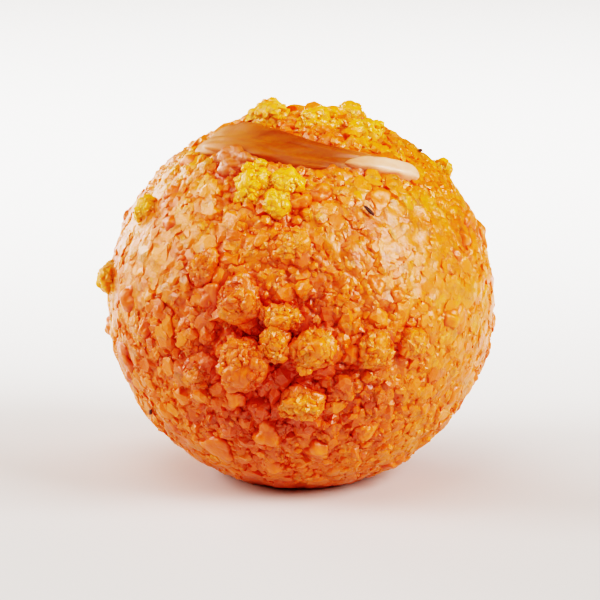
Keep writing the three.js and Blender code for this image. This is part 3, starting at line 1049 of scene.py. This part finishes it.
def matt_board():
    """The pale board that the ladoo stands on: painted and matt, with no sharp gloss, and slightly uneven."""
    material, output = new_material("matt_board")
    place = add_node(material, "ShaderNodeTexCoord").outputs["Object"]
    tooth = add_node(material, "ShaderNodeTexNoise", {},
                     {"Vector": place, "Scale": 1 / (3 * MM), "Detail": 2})
    bumps = add_node(material, "ShaderNodeBump", {},
                     {"Height": tooth.outputs["Fac"], "Strength": 0.05, "Distance": 0.1 * MM})
    shader = add_node(material, "ShaderNodeBsdfPrincipled", {}, {
        "Base Color": linear("#d6d5d3"),
        "Roughness": 0.6,
        "Normal": bumps.outputs["Normal"],
    })
    material.node_tree.links.new(shader.outputs[0], output.inputs[0])
    return material


# --------------------------------------------------------------------------------------------------- studio


def aim(thing, place, target):
    thing.location = place
    thing.rotation_euler = (Vector(target) - Vector(place)).to_track_quat("-Z", "Y").to_euler()


CAMERA_ELEVATION = 12  # in degrees
CAMERA_DISTANCE = 0.36  # in metres
CAMERA_LENS = 182  # in mm


def make_camera():
    camera = bpy.data.objects.new("camera", bpy.data.cameras.new("camera"))
    bpy.context.scene.collection.objects.link(camera)
    camera.data.lens = CAMERA_LENS
    middle = Vector((0, 0, MIDDLE_HEIGHT * MM))
    tilt = math.radians(CAMERA_ELEVATION)
    aim(camera, middle + CAMERA_DISTANCE * Vector((0, -math.cos(tilt), math.sin(tilt))), middle)
    bpy.context.scene.camera = camera


def softbox(name, azimuth, elevation, distance, size, power, target=None):
    """A soft light round the ladoo, placed and sized in metres: azimuth 0 is the front, 90 is +X. It faces
    the ladoo where no other target is given."""
    light = bpy.data.lights.new(name, "AREA")
    light.shape = "RECTANGLE"
    light.size, light.size_y = size
    light.energy = power
    lamp = bpy.data.objects.new(name, light)
    bpy.context.scene.collection.objects.link(lamp)
    middle = Vector((0, 0, MIDDLE_HEIGHT * MM))
    aim(lamp, middle + distance * Vector(toward(azimuth, elevation)), target or middle)


BEHIND_THE_LADOO = Vector((0, 0.8, 0.1))
FLOOR_RADIUS = 6


def studio():
    """Soft light from both sides and above, and a warm dim room. One light brightens the floor behind."""
    softbox("left_softbox", -84, 28, 0.8, (0.4, 0.4), 4.2)
    softbox("right_softbox", 62, 32, 0.8, (0.44, 0.44), 7.5)
    softbox("left_rim", -140, 14, 0.9, (0.4, 0.4), 3.2)
    softbox("top_softbox", -35, 65, 0.9, (0.6, 0.6), 2.8)
    softbox("backdrop_light", 180, 70, 0.36, (0.5, 0.2), 8, BEHIND_THE_LADOO)
    world = bpy.data.worlds.new("studio")
    world.use_nodes = True
    background = world.node_tree.nodes["Background"]
    background.inputs["Color"].default_value = linear("#ffbe7c")
    background.inputs["Strength"].default_value = 0.2
    bpy.context.scene.world = world
    view = bpy.context.scene.view_settings
    view.view_transform = "Filmic"
    view.look = "Very High Contrast"
    view.exposure = 0.37
    view.gamma = 0.84


def make_floor():
    form = bmesh.new()
    bmesh.ops.create_circle(form, cap_ends=True, segments=96, radius=FLOOR_RADIUS)
    mesh = bpy.data.meshes.new("floor")
    form.to_mesh(mesh)
    form.free()
    floor = bpy.data.objects.new("floor", mesh)
    bpy.context.scene.collection.objects.link(floor)
    floor.data.materials.append(matt_board())


# ------------------------------------------------------------------------------------------------- assembly


make_camera()
studio()
make_floor()

# Colours of batter that is deep, plain and golden, and the painted shade colour of its crevices; the deep
# colour also carries the painted shade of the loose patches. Dried sugar dulls the orange.
BATTER_COLOURS = ["#cc4c00", "#f27404", "#f89e12", "#d24200"]
SUGARED_COLOURS = ["#b85014", "#cc7030", "#e8b088", "#b83c04"]
YELLOW_COLOURS = ["#fe8004", "#ff9808", "#ffaa16", "#f87004"]

# How far red, green and blue light go, in mm: in the mass and the yellow boondi, and in all else of batter.
MASS_GLOW = (1.2, 0.6, 0.24)
GRAIN_GLOW = (0.36, 0.33, 0.29)

orange_batter = boondi_batter("syrup_soaked_batter", *BATTER_COLOURS, MASS_GLOW)
crumb_batter = boondi_batter("syrup_soaked_crumbs", *BATTER_COLOURS, GRAIN_GLOW)
sugared_batter = boondi_batter("sugared_batter", *SUGARED_COLOURS, GRAIN_GLOW)
yellow_batter = boondi_batter("undyed_batter", *YELLOW_COLOURS, MASS_GLOW)
yellow_crumbs = boondi_batter("undyed_crumbs", *YELLOW_COLOURS, GRAIN_GLOW)

for piece, node, slot, material in [
    (pressed_boondi(), "boondi_ball", "boondi", orange_batter),
    (standing_boondi(), "boondi_ball", "boondi", crumb_batter),
    (broken_boondi(), "boondi_ball", "boondi", crumb_batter),
    (crumbs(), "boondi_ball", "boondi", crumb_batter),
    (grit(), "boondi_ball", "boondi", crumb_batter),
    (clump_grains(), "boondi_ball", "boondi", crumb_batter),
    (sugared_boondi(), "boondi_ball", "boondi", sugared_batter),
    (yellow_boondi(), "boondi_ball", "yellow_boondi", yellow_batter),
    (yellow_grains(), "boondi_ball", "yellow_boondi", yellow_crumbs),
    (melon_seed(), "boondi_ball", "melon_seed", peeled_seed()),
    (cardamom_slivers(), "boondi_ball", "cardamom", crushed_cardamom()),
    (raisin(), "raisin", "raisin", raisin_flesh()),
]:
    piece.data.materials.append(material)
    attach(piece, "root")
    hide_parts(node)
